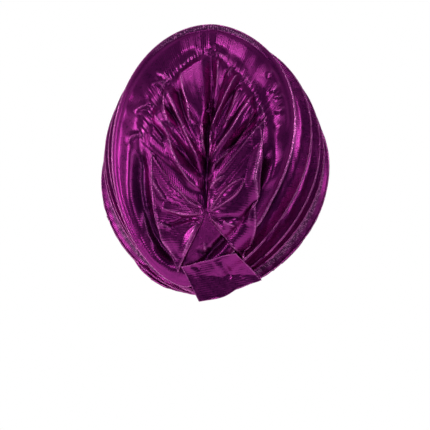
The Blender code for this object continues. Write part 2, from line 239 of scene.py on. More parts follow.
def gridNormals(points, closed):
    # outward directions of a grid of points
    if closed:
        around = np.roll(points, -1, 0) - np.roll(points, 1, 0)
    else:
        around = np.gradient(points, axis=0)
    across = np.gradient(points, axis=1)
    normal = np.cross(around, across)
    small = np.linalg.norm(normal, axis=-1, keepdims=True) < 1e-10
    normal = unit(normal)
    facing = (normal * (points - hollow)).sum(-1)
    if facing.mean() < 0:
        normal = -normal
    return np.where(small, np.array([0.0, -1.0, 0.0]), normal)


def makeSheet(name, points, flat, marks, closed, material, thickness):
    # a grid of points made into cloth with its wall on the inner side
    columns, rows = points.shape[:2]
    spans = columns if closed else columns - 1
    i, j = np.meshgrid(np.arange(spans), np.arange(rows - 1), indexing="ij")
    k = (i + 1) % columns
    faces = np.stack([i * rows + j, k * rows + j, k * rows + j + 1, i * rows + j + 1], -1).reshape(-1, 4)
    mesh = bpy.data.meshes.new(name)
    mesh.from_pydata(points.reshape(-1, 3).tolist(), [], faces.tolist())
    uv = np.stack([flat[i, j], flat[i + 1, j], flat[i + 1, j + 1], flat[i, j + 1]], 2).reshape(-1)
    mesh.uv_layers.new(name="cut").data.foreach_set("uv", uv.astype(np.float32))
    for mark, values in marks.items():
        layer = mesh.attributes.new(mark, "FLOAT", "POINT")
        spread = np.broadcast_to(values, (columns, rows)).astype(np.float32)
        layer.data.foreach_set("value", spread.reshape(-1))
    work = bmesh.new()
    work.from_mesh(mesh)
    bmesh.ops.remove_doubles(work, verts=work.verts, dist=1e-5)
    bmesh.ops.dissolve_degenerate(work, edges=work.edges, dist=1e-6)
    bmesh.ops.recalc_face_normals(work, faces=work.faces)
    middle = Vector(hollow)
    if sum(f.normal.dot(f.calc_center_median() - middle) * f.calc_area() for f in work.faces) < 0:
        bmesh.ops.reverse_faces(work, faces=work.faces)
    work.to_mesh(mesh)
    work.free()
    mesh.shade_smooth()
    mesh.materials.append(material)
    piece = bpy.data.objects.new(name, mesh)
    bpy.context.scene.collection.objects.link(piece)
    wall = piece.modifiers.new("wall", "SOLIDIFY")
    wall.thickness = thickness
    wall.offset = -1
    return piece


def clothLengths(points, closed):
    # cloth coordinates in metres, along the piece and across it
    row = points.shape[1] // 2
    loop = points[:, row]
    if closed:
        loop = np.concatenate([loop, loop[:1]])
    along = np.concatenate([[0], np.cumsum(np.linalg.norm(np.diff(loop, axis=0), axis=1))])
    step = np.linalg.norm(np.diff(points, axis=1), axis=2).mean(0)
    across = np.concatenate([[0], np.cumsum(step)])
    return np.stack(np.meshgrid(along, across, indexing="ij"), -1)


# Materials

class Term:
    # a socket that takes part in sums, so that 1 - mask works
    def __init__(self, tree, socket):
        self.tree = tree
        self.socket = socket

    def calc(self, operation, *others):
        node = self.tree.nodes.new("ShaderNodeMath")
        node.operation = operation
        for slot, value in zip(node.inputs, (self, *others)):
            if isinstance(value, Term):
                self.tree.links.new(value.socket, slot)
            else:
                slot.default_value = value
        return Term(self.tree, node.outputs[0])

    def flipped(self, operation, other):
        node = self.tree.nodes.new("ShaderNodeMath")
        node.operation = operation
        node.inputs[0].default_value = other
        self.tree.links.new(self.socket, node.inputs[1])
        return Term(self.tree, node.outputs[0])

    def __add__(self, other):
        return self.calc("ADD", other)

    def __sub__(self, other):
        return self.calc("SUBTRACT", other)

    def __mul__(self, other):
        return self.calc("MULTIPLY", other)

    __radd__ = __add__
    __rmul__ = __mul__

    def __rsub__(self, other):
        return self.flipped("SUBTRACT", other)


class Finish:
    # a material under construction
    def __init__(self, name):
        self.material = bpy.data.materials.new(name)
        self.material.use_nodes = True
        self.tree = self.material.node_tree
        self.shader = self.tree.nodes["Principled BSDF"]

    def node(self, kind, settings=None, sockets=None, output=0):
        made = self.tree.nodes.new("ShaderNode" + kind)
        for key, value in (settings or {}).items():
            setattr(made, key, value)
        for key, value in (sockets or {}).items():
            self.feed(made.inputs[key], value)
        return Term(self.tree, made.outputs[output])

    def feed(self, socket, value):
        if isinstance(value, Term):
            self.tree.links.new(value.socket, socket)
        else:
            socket.default_value = value

    def mark(self, name):
        return self.node("Attribute", {"attribute_name": name}, output="Fac")

    def noise(self, place, scale, detail=2.0):
        return self.node("TexNoise", sockets={"Vector": place, "Scale": scale, "Detail": detail})

    def tint(self, share, first, second):
        return self.node("Mix", {"data_type": "RGBA"}, {0: share, 6: first, 7: second}, output=2)

    def steps(self, value, low, high):
        # 0 below low and 1 above high
        return self.node("MapRange", {"interpolation_type": "SMOOTHSTEP"},
                         {"Value": value, "From Min": low, "From Max": high})

    def feedShader(self, **values):
        for key, value in values.items():
            self.feed(self.shader.inputs[key.replace("_", " ")], value)


clothLook = {
    "deep": (0.11, 0.005, 0.10, 1),
    "mid": (0.32, 0.020, 0.22, 1),
    "highlightPaint": (1.0, 0.24, 0.74, 1),
    "shadow": (0.035, 0.002, 0.04, 1),
    "grazing": (1.0, 0.32, 0.84, 1),
    "sheenPaint": (0.66, 0.19, 0.52, 1),
    "sheenDark": (0.09, 0.010, 0.08, 1),
    "ribPeriod": 0.0022,
    "ribDepth": 0.00008,
    "roughness": 0.295,
    "metallic": 0.92,
    "coat": 0.12,
    "coatRoughness": 0.28,
    "patches": 38.0,  # how fine the slow change of colour is
    "grain": 420.0,
    "threads": 560.0,
    "dashHeight": 1.8,
}


def lame(name, look):
    # shiny ribbed cloth, with a painted highlight on the marked folds, a painted grey sheen over a mottled
    # rib pattern on the marked edge band and painted shade in the marked hollows; one mark turns the ribs
    m = Finish(name)
    flat = m.node("UVMap", {"uv_map": "cut"})
    place = m.node("TexCoord", output="Object")
    lengthways = m.node("SeparateXYZ", sockets={"Vector": flat}, output="X")
    across = m.node("SeparateXYZ", sockets={"Vector": flat}, output="Y")
    crestHighlight, band, cross, paintedShade = m.mark("crestHighlight"), m.mark("band"), m.mark("cross"), m.mark("paintedShade")
    slow = m.noise(place, look["patches"], 3.0)
    fine = m.noise(place, look["grain"], 2.0)
    spark = m.noise(place, look["threads"], 1.0)
    turns = 2 * math.pi / look["ribPeriod"]
    ribsAlong = (lengthways * turns + slow * 1.5).calc("SINE")
    ribsAcross = (across * turns + slow * 1.5).calc("SINE")
    rib = ribsAlong * (1 - cross) + ribsAcross * cross
    # painted highlight: the marked crests are lightened towards a pale pink, more in glinting dashes; the
    # dashes also raise the bump
    dashes = m.steps(spark, 0.49, 0.57)
    peak = crestHighlight.calc("POWER", 1.6)
    paintedHighlight = peak * (dashes * 0.9 + 0.40)
    colour = m.tint(m.steps(slow, 0.3, 0.7), look["deep"], look["mid"])
    colour = m.tint(m.steps(fine, 0.25, 0.75) * 0.5 + 0.45, colour, look["mid"])
    colour = m.tint(paintedHighlight.calc("MINIMUM", 1.0), colour, look["highlightPaint"])
    # painted shade: hollows, grooves and deep folds are darkened towards the shadow colour
    colour = m.tint(paintedShade * 0.85, colour, look["shadow"])
    # painted grey sheen on the turned edge band, laid over a mottled pattern of ribs
    sheenLines = m.steps(ribsAlong * 0.35 + (spark - 0.5) * 4.0, 0.0, 0.7)
    sheenPaint = m.tint(sheenLines, look["sheenDark"], look["sheenPaint"])
    colour = m.tint(band, colour, sheenPaint)
    rough = fine * 0.16 + (look["roughness"] - 0.08) - paintedHighlight * 0.06 + band * 0.22
    height = rib * (0.22 + slow * 0.5) + (fine - 0.5) * 0.12 + dashes * peak * look["dashHeight"]
    bump = m.node("Bump", sockets={"Strength": 1.0, "Distance": look["ribDepth"], "Height": height})
    # less metal on the painted highlight and on the sheen band, so that their painted colours show from every
    # side
    metal = look["metallic"] - band * 0.4 - crestHighlight * 0.35
    m.feedShader(Base_Color=colour, Roughness=rough, Metallic=metal, Normal=bump)
    m.shader.inputs["Coat Weight"].default_value = look["coat"]
    m.shader.inputs["Coat Roughness"].default_value = look["coatRoughness"]
    m.shader.inputs["Specular Tint"].default_value = look["grazing"]
    return m.material


shinyCloth = lame("shinyCloth", clothLook)
bandLook = dict(clothLook, mid=(0.26, 0.012, 0.2, 1), roughness=0.38, metallic=0.8)
innerCloth = lame("innerCloth", bandLook)
print("materials made")

# Pieces

pieces = {}


def finishPiece(name, node, points, marks, closed, material, flat=None):
    if flat is None:
        flat = clothLengths(points, closed)
    piece = makeSheet(name, points, flat, marks, closed, material, turban["cloth"])
    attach(piece, "root")
    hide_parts(node)
    pieces[name] = piece
    return piece


# Crown: the gathered back panel
crown = {
    "columns": 210,  # on each side
    "plainShare": 16 / 46,  # columns below the last crease
    "gatherLine": 0.68,
    "knotHeight": 0.115,
    "seamTop": 0.60,
    "foldHeight": 0.0060,
    "creaseDepth": 0.009,
    "creaseWidth": 0.009,
    "creaseTop": 0.88,
    "creasePath": ((27, 6), (55, 4), (80, 5), (115, 4), (133, 10), (158, 8), (195, 3)),
    "valleyDepth": 0.0078,
    "lineDepth": 0.0012,
    "rollHeight": 0.0014,
    "puckerHeight": 0.0011,
    "dentHeight": 0.0021,
    "beadHeight": 0.0012,
    "drawnShare": 1.4,  # how strongly the drawn ridges and hollows stand
    "creasing": 0.0003,
    "sheet": {"flat": (0.36, 0.34), "held": "gathered", "rests_on": ["pleat_1_cloth"], "area": 0.095},
}
creaseColumns = ("seam", "left", "leftPuff", "right", "rightPuff")
creaseTable = (
    (0.90, 0.89, 0.0, 0.87, 0.7),
    (0.82, 0.79, 1.0, 0.79, 0.9),
    (0.74, 0.71, 0.8, 0.72, 1.0),
    (0.65, 0.63, 1.1, 0.65, 1.1),
    (0.57, 0.55, 0.9, 0.58, 0.8),
)
creases = [dict(zip(creaseColumns, row)) for row in creaseTable]
crownRidges = (
    (((-27, 173), (-25, 165), (-21, 148), (-16, 133), (-12, 115)), 4.0, 12, 5),
    (((-41, 156), (-41, 136), (-38, 125), (-31, 111)), 3.4, 6, 4),
    (((-39, 151), (-29, 130), (-19, 110), (-11, 95), (-1, 75)), 5.0, 9, 4),
    (((-50, 125), (-36, 108), (-29, 89), (-21, 72), (-11, 57), (-1, 50)), 4.2, 8, 7),
    (((-1, 118), (0, 100), (4, 83)), 2.6, 3, 3),
    (((7, 110), (8, 95), (7, 80)), 2.6, 3, 3),
    (((11, 184), (12, 170), (12, 154)), 2.2, 4, 3),
    (((28, 179), (22, 165)), 2.0, 3, 3),
    (((36, 171), (29, 159), (23, 145), (18, 132), (13, 121), (7, 110)), 4.4, 7, 5),
    (((34, 155), (32, 145), (29, 132), (26, 124), (23, 111)), 3.0, 6, 4),
    (((57, 151), (49, 145), (43, 135), (36, 122), (29, 107), (21, 96), (13, 86), (7, 79)), 5.2, 5, 9),
    (((51, 130), (48, 121), (43, 110), (34, 95), (18, 79), (9, 68)), 3.2, 5, 4),
    (((4, -3), (5, -13)), 1.8, 3, 3),
    (((10, -5), (13, -15)), 2.0, 3, 3),
    (((26, -16), (21, -26)), 1.8, 3, 3),
)
crownOuter = (
    (((84, 54), (70, 34), (56, 16), (46, -8)), 4.5, 8, 6),
    (((-62, 30), (-55, 5), (-46, -8)), 2.0, 4, 4),
    (((-72, 129), (-63, 134), (-55, 137)), 2.6, 6, 3),
    (((-77, 98), (-70, 104), (-63, 107)), 2.4, 6, 3),
    (((-53, 172), (-45, 168), (-38, 162)), 1.5, 3, 2),
    (((-57, 158), (-47, 161), (-38, 162)), 1.5, 2, 3),
    (((60, 165), (64, 169), (67, 173)), 2.4, 4, 3),
    (((66, 147), (70, 153), (73, 160)), 2.6, 4, 3),
    (((70, 142), (74, 145), (78, 147)), 2.4, 3, 3),
    (((71, 127), (75, 130), (78, 134)), 2.6, 4, 4),
    (((70, 112), (74, 114), (78, 115)), 1.8, 3, 3),
)
crownHollows = (
    (((-36, 115), (-19, 91), (-9, 76), (1, 64)), 4.0, 5, 6),
    (((-28, 150), (-17, 118), (-4, 90)), 2.6, 4, 5),
    (((35, 147), (22, 118), (12, 98)), 3.0, 5, 5),
    (((61, 137), (39, 105), (14, 75)), 4.0, 6, 5),
    (((-3, -8), (8, -20), (16, -8), (28, -24)), 2.5, 4, 4),
)


def seamSide(z):
    edge = rings["crownEdge"]
    low, high = crown["knotHeight"] * turban["topHeight"], crown["seamTop"] * turban["topHeight"]
    below = mix(turban["seamSide"], edge["nape"][0], np.clip((low - z) / (low - edge["nape"][2]), 0, 1))
    above = mix(turban["seamSide"], edge["top"][0], np.clip((z - high) / (edge["top"][2] - high), 0, 1))
    return np.where(z < low, below, np.where(z > high, above, turban["seamSide"]))


def domeDepth(x, z):
    ring = rings["crownEdge"]
    rise = np.clip((z - ring["nape"][2]) / (ring["top"][2] - ring["nape"][2]), 0.001, 0.999)
    seam = seamSide(z)
    right = x > seam
    half, power, pinch = (np.where(right, ring["right"][k], ring["left"][k]) for k in range(3))
    turn = rise ** (1 / power)
    besideX = mix(ring["nape"][0], ring["top"][0], rise) + np.where(right, 1, -1) * half * (
        2 * np.sqrt(turn * (1 - turn))) ** pinch
    besideY = mix(ring["nape"][1], ring["top"][1], rise ** ring["lean"])
    out = np.minimum(np.abs((x - seam) / (besideX - seam)), 1)
    return besideY - turban["backBulge"] * np.sin(np.pi * rise) ** 0.7 * (1 - out**2.4) ** 0.55


def columnShares(side, columns, out):
    reach = min(out / crown["gatherLine"], 1)
    stops = [mix(cell["seam"], cell[side], reach) for cell in reversed(creases)] + [1]
    plain = crown["plainShare"]
    at = [0] + [plain + (1 - plain) * k / (len(stops) - 1) for k in range(len(stops))]
    return np.interp(columns, at, [0] + stops)


def foldHeights(side, share, out):
    reach = min(out / crown["gatherLine"], 1)
    puff = np.zeros_like(share)
    above = 1.0
    for cell in creases:
        full = cell[side + "Puff"]
        below = mix(cell["seam"], cell[side], reach)
        if not full:
            continue
        across = np.clip((share - below) / (above - below), 0, 1)
        inside = (share > below) & (share <= above)
        puff = np.where(inside, full * (1 - np.abs(2 * across**0.8 - 1) ** 1.8), puff)
        above = below
    swell = math.sin(math.pi / 2 * min(1.8 * reach, 1)) * min(8 * (1 - reach), 1)
    return crown["foldHeight"] * puff * swell


def crownSide(side, sign, columns, outs, turns):
    # one half of the back panel: its points, where round the edge each column runs to, and
    # how far the folds stand off the points
    places, shares, fold = [], [], []
    for out in outs:
        share = columnShares(side, columns, out)
        edge = onRing("crownEdge", sign * np.pi * share * 0.999999)
        seam = mix(crown["knotHeight"], crown["seamTop"], np.maximum(2 * share - 1, 0)) * turban["topHeight"]
        x, z = mix(turban["seamSide"], edge[:, 0], out), mix(seam, edge[:, 2], out)
        places.append(np.stack([x, domeDepth(x, z), z], -1))
        shares.append(share)
        fold.append(foldHeights(side, share, out))
    angle = sign * np.pi * columnShares(side, columns, 1) * 0.999999
    crestLine = onRing("crownEdge", angle)
    end = layerEnd("crownEdge", "pleat1", angle, turban["pleatDepth"])
    turned = places[-1]
    pull = crestLine * 2 - (turned + end) / 2
    for t in turns:
        places.append(turned * (1 - t) ** 2 + pull * 2 * t * (1 - t) + end * t**2)
        shares.append(shares[-1])
        fold.append(np.zeros_like(columns))
    return np.stack(places, 1), np.stack(shares, 1), np.stack(fold, 1)


def makeCrown():
    columns = np.linspace(0, 1, crown["columns"] + 1)
    outs = spaced((0, 0.6, 40), (0.61, 0.76, 18), (0.77, 0.955, 18))
    turns = spaced((0.04, 0.32, 8), (0.345, 0.62, 18), (0.66, 1, 8))
    # right side from the nape to the top, then left side from the top back to the nape
    halves = [crownSide(side, sign, columns, outs, turns) for side, sign in (("right", 1), ("left", -1))]
    points, share, fold = (np.concatenate([a, b[-2:0:-1]]) for a, b in zip(*halves))
    out = np.concatenate([outs, 1 + turns])[None, :]
    sign = np.where(np.arange(len(points)) <= crown["columns"], 1, -1)[:, None]
    turn = sign * share / 2
    x, z = points[..., 0], points[..., 2]
    flat = out < 1
    gathered = (1 - ramp(out, 0.60, 0.70)) * flat
    tall, marked = drawn(x, z, crownRidges)
    low, _ = drawn(x, z, crownHollows)
    small = waves(7, (25, 60), (-3, 3))
    creased = ridges(ripple(small, turn, out * 0.4)) * ramp(out, 0.05, 0.2)
    upmost = ramp(share, 0.84, 0.90)
    creasing = crown["creasing"] * creased * ramp(out, 0.3, 0.5) * (1 - upmost)
    height = (fold + tall * crown["drawnShare"] - low * crown["drawnShare"] - creasing) * gathered
    pathZ, pathX = zip(*crown["creasePath"])
    beside = np.abs(x - np.interp(z, np.array(pathZ) / 1000, np.array(pathX) / 1000))
    lengthwise = (z / turban["topHeight"] - crown["knotHeight"]) / (crown["creaseTop"] - crown["knotHeight"])
    ends = np.sin(np.pi * np.clip(lengthwise, 0, 1)) ** 0.6
    parting = np.clip(1 - beside / crown["creaseWidth"], 0, 1) ** 1.3
    height = height - crown["creaseDepth"] * parting * ends * flat
    upper = ramp(share, 0.36, 0.5)
    calmer = ramp(x, -0.03, 0.03)
    line = hill((out - crown["gatherLine"]) / 0.075) * flat * (0.85 - 0.4 * calmer)
    patchy = ramp(ripple(waves(6, (8, 24), (-1, 1)), turn, out), -0.05, 0.25)
    # marks along the puckered gather line that get painted highlight dots
    stitchHighlights = hill((out - crown["gatherLine"] - 0.02 * patchy) / 0.016) * upper * flat * patchy
    tucks = np.abs(ripple(waves(6, (36, 64), (-0.6, 0.6)), turn, out)) ** 0.8
    tucks = tucks * hill((out - 0.74) / 0.12) * upper * (1 - 0.5 * calmer)
    pucker = np.abs(ripple(waves(4, (60, 110), (-2, 2)), turn, out)) ** 0.7 * line * upper
    puckers = pucker * 1.3 + creased * line + 0.45 * tucks
    height = height - crown["lineDepth"] * line * upper + crown["puckerHeight"] * puckers
    lower = 1 - ramp(share, 0.20, 0.45)
    valley = hill((out - 0.675 - 0.045 * lower) / (0.14 + 0.05 * lower)) * (1 - ramp(share, 0.47, 0.56))
    valley = valley * ramp(share, 0.02, 0.12) * flat
    outer, outerMark = drawn(x, z, crownOuter)
    height = height - crown["valleyDepth"] * valley + outer
    zone = ramp(out, 0.70 + 0.06 * lower, 0.79 + 0.06 * lower) * (1 - ramp(out, 0.90, 0.955))
    dents = ripple(waves(5, (7, 17), (-0.2, 0.2)), turn, out)
    dents = dents + 0.25 * ripple(waves(5, (24, 42), (-1, 1)), turn, out)
    height = height + zone * (dents * crown["dentHeight"] + crown["rollHeight"])
    beads = hill((out - 1.40) / 0.05) + hill((out - 1.56) / 0.05) + 0 * x
    height = height + beads * crown["beadHeight"]
    points = points + gridNormals(points, True) * (height + turban["proud"])[..., None]
    # painted grey sheen band on the turned edge near the top
    band = ramp(out, 0.985, 1.03) * (1 - ramp(out, 1.22, 1.30)) * ramp(share, 0.74, 0.84)
    # painted highlight on drawn ridges, dents, puckers, rolled beads and the gather line
    crests = [marked * gathered, outerMark * 0.5, pucker * 0.3, beads**0.6 * 1.4, stitchHighlights * 0.5 + 0 * x]
    marks = {
        "crestHighlight": np.max(crests, 0),
        "band": band,
        "cross": (1 - ramp(out, 0.60, 0.72)) + 0 * share,
        # painted shade in the hollows, at the far end of the turned edge and in the valley beside the tied
        # ends
        "paintedShade": np.max([sunken(height * (out < 1), True, 10), ramp(out, 1.75, 1.9) + 0 * x, valley * 0.9], 0),
    }
    return finishPiece("crown_cloth", "crown", points, marks, True, shinyCloth)


# Side pleats and rim: standing layers with a rolled crest
pleat = {
    "columns": 420,
    "rows": 44,
    "sharpness": 1.35,
    "ridge": 0.55,  # how much of the height is a narrow standing ridge
    "ridgeWidth": 0.26,
    "rollHeight": 0.0009,
    "rollWidth": 0.022,
    "waveHeight": 0.0008,
}


def layerPoints(lap, start, crestLine, end, rows, look):
    # a lap, then the profile from the start over the crest to the end
    t = np.linspace(-1, 1, rows)
    s = 0.5 + 0.5 * np.sign(t) * np.abs(t) ** 1.7
    away = np.abs(2 * s - 1)
    tall = mix(1 - away ** look["sharpness"], np.exp(-((away / look["ridgeWidth"]) ** 2)), look["ridge"])
    tall = tall - mix(tall[0], 0, 1 - away)
    chord = mix(start[:, None], end[:, None], s[None, :, None])
    lift = (crestLine - (start + end) / 2)[:, None]
    points = chord + lift * tall[None, :, None]
    return np.concatenate([lap[:, None], points], 1), np.concatenate([[0], s])


def makePleat(key, node, before, after):
    angle = np.linspace(0, 2 * np.pi, pleat["columns"] + 1)[:-1]
    lap, start = layerStart(before, key, angle, turban["pleatDepth"])
    end = layerEnd(key, after, angle, turban["pleatDepth"])
    crestLine = onRing(key, angle)
    crestLine = crestLine - inward(crestLine) * turban["proud"]
    points, s = layerPoints(lap, start, crestLine, end, pleat["rows"], pleat)
    s = s[None, :]
    turn = (angle / (2 * np.pi))[:, None]
    isRim = key == "rim"
    slow = waves(5, (3, 14), (-1, 1))
    quick = waves(6, (20, 70), (1, 5))
    side = np.sin(np.pi * s) ** 0.7
    rolls = hill((s - 0.475) / pleat["rollWidth"]) + hill((s - 0.525) / pleat["rollWidth"])
    gathered = 1 - ramp(turn * (turn < 0.5) + (1 - turn) * (turn >= 0.5), 0.05, 0.22)
    height = ripple(slow, turn, s) + 0.5 * ripple(quick, turn, s) * (0.4 + gathered)
    height = height * side * pleat["waveHeight"]
    height = height + rolls * pleat["rollHeight"]
    height[:, 0] = 0
    height[:, 1] = 0
    height[:, -1] = 0
    normal = gridNormals(points, True)
    points = points + normal * height[..., None]
    # painted grey sheen on the rim's edge band, painted highlight on the rolled crests, painted shade in the
    # grooves between layers
    band = ramp(s, 0.13, 0.18) * (1 - ramp(s, 0.36, 0.40)) if isRim else 0 * s
    paintedShade = 1 - ramp(np.minimum(s, 1 - s), 0.02, 0.16)
    marks = {"crestHighlight": rolls * 1.4, "band": band, "cross": 0 * s, "paintedShade": paintedShade}
    marks = {mark: values + 0 * turn for mark, values in marks.items()}
    return finishPiece(node + "_cloth", node, points, marks, True,
                       shinyCloth)


# Front wrap and head band, hidden from the back
wrap = {
    "columns": 420,
    "rows": 60,
    "waveHeight": 0.0009,
    "sheet": {"flat": (0.075, 0.66), "held": "gathered", "rests_on": ["front_band_cloth"]},
}
headBand = {
    "columns": 300,
    "rows": 26,
    "waveHeight": 0.0004,
    "sheet": {"flat": (0.035, 0.53), "held": "stretched", "rests_on": ["front_band"]},
}


def makeWrap():
    angle = np.linspace(0, 2 * np.pi, wrap["columns"] + 1)[:-1]
    lap, start = layerStart("rim", "wrap1", angle, turban["pleatDepth"])
    stops = [start] + [onRing(name, angle) for name in ("wrap1", "wrap2", "wrap3")]
    stops = [stops[0]] + [p - inward(p) * turban["proud"] for p in stops[1:]]
    stops += [layerEnd("wrap3", "band", angle, turban["wrapPleatDepth"])]
    rows, places = [lap], [0]
    for number in range(4):
        a, b = stops[number], stops[number + 1]
        dip = np.minimum(turban["wrapPleatDepth"], 0.35 * np.linalg.norm(b - a, axis=1, keepdims=True))
        for share in np.linspace(0, 1, wrap["rows"] // 4 + 1)[(number > 0):]:
            scoop = 2.6 * share * (1 - share) ** 1.5 if 0 < number < 3 else 0
            point = mix(a, b, share)
            rows.append(point + inward(point) * dip * scoop * 1.2)
            places.append(number + share)
    points = np.stack(rows, 1)
    s = np.array(places)[None, :] / 4
    turn = (angle / (2 * np.pi))[:, None]
    height = ripple(waves(6, (4, 16), (-2, 2)), turn, s)
    height = height + 0.4 * ripple(waves(6, (20, 50), (-5, 5)), turn, s)
    height = height * wrap["waveHeight"] * np.sin(np.pi * np.clip(s, 0, 1)) ** 0.5
    points = points + gridNormals(points, True) * height[..., None]
    # painted highlight on the pleat edges and painted shade in the hollows
    edges = sum(hill((s * 4 - k) / 0.12) for k in (1, 2, 3))
    marks = {"crestHighlight": edges * 0.5 + 0 * turn, "band": 0 * s + 0 * turn, "cross": 0 * s + 0 * turn}
    marks["paintedShade"] = sunken(height, True, 6)
    return finishPiece("front_wrap_cloth", "front_wrap", points, marks, True, shinyCloth)


def makeHeadBand():
    angle = np.linspace(0, 2 * np.pi, headBand["columns"] + 1)[:-1]
    lap, start = layerStart("wrap3", "band", angle, turban["wrapPleatDepth"])
    crestLine = onRing("band", angle)
    crestLine = crestLine - inward(crestLine) * turban["proud"]
    end = onRing("grip", angle)
    pull = crestLine * 2 - (start + end) / 2
    t = np.linspace(0, 1, headBand["rows"])[None, :, None]
    points = start[:, None] * (1 - t) ** 2 + pull[:, None] * 2 * t * (1 - t) + end[:, None] * t**2
    points = np.concatenate([lap[:, None], points], 1)
    s = np.concatenate([[0], t[0, :, 0]])[None, :]
    turn = (angle / (2 * np.pi))[:, None]
    height = ripple(waves(6, (10, 30), (-2, 2)), turn, s) * headBand["waveHeight"] * np.sin(np.pi * s)
    points = points + gridNormals(points, True) * height[..., None]
    # painted highlight on the hem rolls
    hem = hill((s - 0.88) / 0.05) + hill((s - 0.97) / 0.03)
    marks = {"crestHighlight": hem * 0.5, "band": 0 * s, "cross": 0 * s, "paintedShade": 0 * height}
    marks = {mark: values + 0 * turn for mark, values in marks.items()}
    return finishPiece("front_band_cloth", "front_band", points, marks, True, innerCloth)


# The back as a map of depths, so that the tied ends lie on what is under them
depthMap = {"left": -0.085, "right": 0.095, "low": -0.075, "high": 0.150, "step": 0.00125, "far": -0.060}


def readDepths(names):
    trees = []
    for name in names:
        mesh = pieces[name].data
        corners = [v.co for v in mesh.vertices]
        trees.append(BVHTree.FromPolygons(corners, [tuple(p.vertices) for p in mesh.polygons]))
    xs = np.arange(depthMap["left"], depthMap["right"], depthMap["step"])
    zs = np.arange(depthMap["low"], depthMap["high"], depthMap["step"])
    depths = np.full((len(xs), len(zs)), depthMap["far"])
    ahead = Vector((0, 1, 0))
    for i, x in enumerate(xs):
        for j, z in enumerate(zs):
            for tree in trees:
                hit = tree.ray_cast(Vector((x, -0.3, z)), ahead, 0.24)[0]
                if hit is not None and hit.y < depths[i, j]:
                    depths[i, j] = hit.y
    return depths


def drape(depths, radius, reach, smooth):
    # bridges hollows as a ball rolled over them would, then evens the result out
    steps = int(reach / depthMap["step"])
    bridged = depths.copy()
    for di in range(-steps, steps + 1):
        for dj in range(-steps, steps + 1):
            far = (di * di + dj * dj) * depthMap["step"] ** 2
            if far > reach * reach:
                continue
            shifted = np.roll(np.roll(depths, di, 0), dj, 1) + far / (2 * radius)
            bridged = np.minimum(bridged, shifted)
    for _ in range(smooth):
        for axis in (0, 1):
            bridged = (np.roll(bridged, 1, axis) + 2 * bridged + np.roll(bridged, -1, axis)) / 4
    return np.minimum(bridged, depths - 0.0002)


def lieOn(depths, x, z, lift):
    # points on the map at x, z, lifted square to it
    def depthAt(px, pz):
        i = np.clip((px - depthMap["left"]) / depthMap["step"], 0, depths.shape[0] - 1.001)
        j = np.clip((pz - depthMap["low"]) / depthMap["step"], 0, depths.shape[1] - 1.001)
        a, b = i.astype(int), j.astype(int)
        u, v = i - a, j - b
        return mix(mix(depths[a, b], depths[a + 1, b], u), mix(depths[a, b + 1], depths[a + 1, b + 1], u), v)

    step = 0.004
    slopeX = (depthAt(x + step, z) - depthAt(x - step, z)) / (2 * step)
    slopeZ = (depthAt(x, z + step) - depthAt(x, z - step)) / (2 * step)
    normal = unit(np.stack([slopeX, -np.ones_like(x), slopeZ], -1))
    return np.stack([x, depthAt(x, z), z], -1) + normal * lift[..., None]


def alongEdge(rows, share):
    # points of a smooth curve through the rows of an edge
    rows = np.array(rows, float)
    reach = share * (len(rows) - 1)
    step = np.minimum(reach.astype(int), len(rows) - 2)
    t = (reach - step)[..., None]
    padded = np.concatenate([[2 * rows[0] - rows[1]], rows, [2 * rows[-1] - rows[-2]]])
    p0, p1, p2, p3 = (padded[step + k] for k in range(4))
    bend = (2 * p0 - 5 * p1 + 4 * p2 - p3) * t**2 + (3 * p1 - p0 - 3 * p2 + p3) * t**3
    return 0.5 * (2 * p1 + (p2 - p0) * t + bend)


# Tied ends: edges as shares of half the rim's width and of the height, ridges in mm
leftWing = {
    "inner": ((-0.04, 0.155), (-0.02, 0.120), (-0.02, 0.095)),
    "outer": ((-0.47, 0.400), (-0.44, 0.200), (-0.38, 0.060), (-0.23, -0.150)),
    "bow": 0.008,  # how far the upper edge hangs below a straight line
    "ribTurn": 8,
    "ridges": (
        (((1, 31), (-12, 38), (-24, 52), (-35, 68), (-46, 84)), 2.2, 6, 3),
        (((4, 26), (-11, 24), (-19, 25), (-38, 31)), 3.6, 3, 9),
        (((-2, 18), (-7, 7), (-12, -3), (-17, -17)), 3.0, 5, 7),
        (((-48, 62), (-44, 52), (-35, 40)), 1.8, 3, 4),
        (((-40, 17), (-28, 11)), 1.6, 3, 4),
        (((-37, 6), (-30, -6), (-22, -20)), 1.8, 4, 3),
    ),
    "hollows": (
        (((2, 24), (-13, 21), (-24, 17), (-36, 14)), 2.8, 4, 3),
        (((-4, 30), (-18, 42), (-30, 58)), 1.5, 4, 4),
    ),
    "sheet": {"flat": (0.062, 0.125), "held": "folded", "rests_on": ["crown_cloth"], "area": 0.0052},
}
rightWing = {
    "inner": ((0.03, 0.240), (0.02, 0.160), (0.02, 0.095)),
    "outer": ((0.47, 0.560), (0.40, 0.320), (0.38, 0.100), (0.28, -0.095)),
    "bow": 0.0,
    "ribTurn": -4,
    "ridges": (
        (((12, 58), (24, 76), (40, 97), (56, 118)), 1.8, 3, 5),
        (((56, 114), (56, 101), (55, 91), (52, 75), (49, 60), (50, 40), (46, 15)), 3.4, 6, 6),
        (((10, 22), (21, 11)), 2.0, 3, 3),
        (((7, 15), (18, 3), (30, -8)), 1.8, 3, 3),
        (((22, 18), (32, 15)), 1.6, 4, 4),
        (((9, 50), (16, 60), (24, 64)), 1.8, 3, 4),
    ),
    "hollows": (
        (((9, 42), (20, 56), (38, 80), (48, 96)), 2.0, 7, 6),
        (((9, 21), (24, 22), (40, 24)), 1.8, 4, 3),
    ),
    "sheet": {"flat": (0.062, 0.150), "held": "folded", "rests_on": ["crown_cloth"], "area": 0.0070},
}
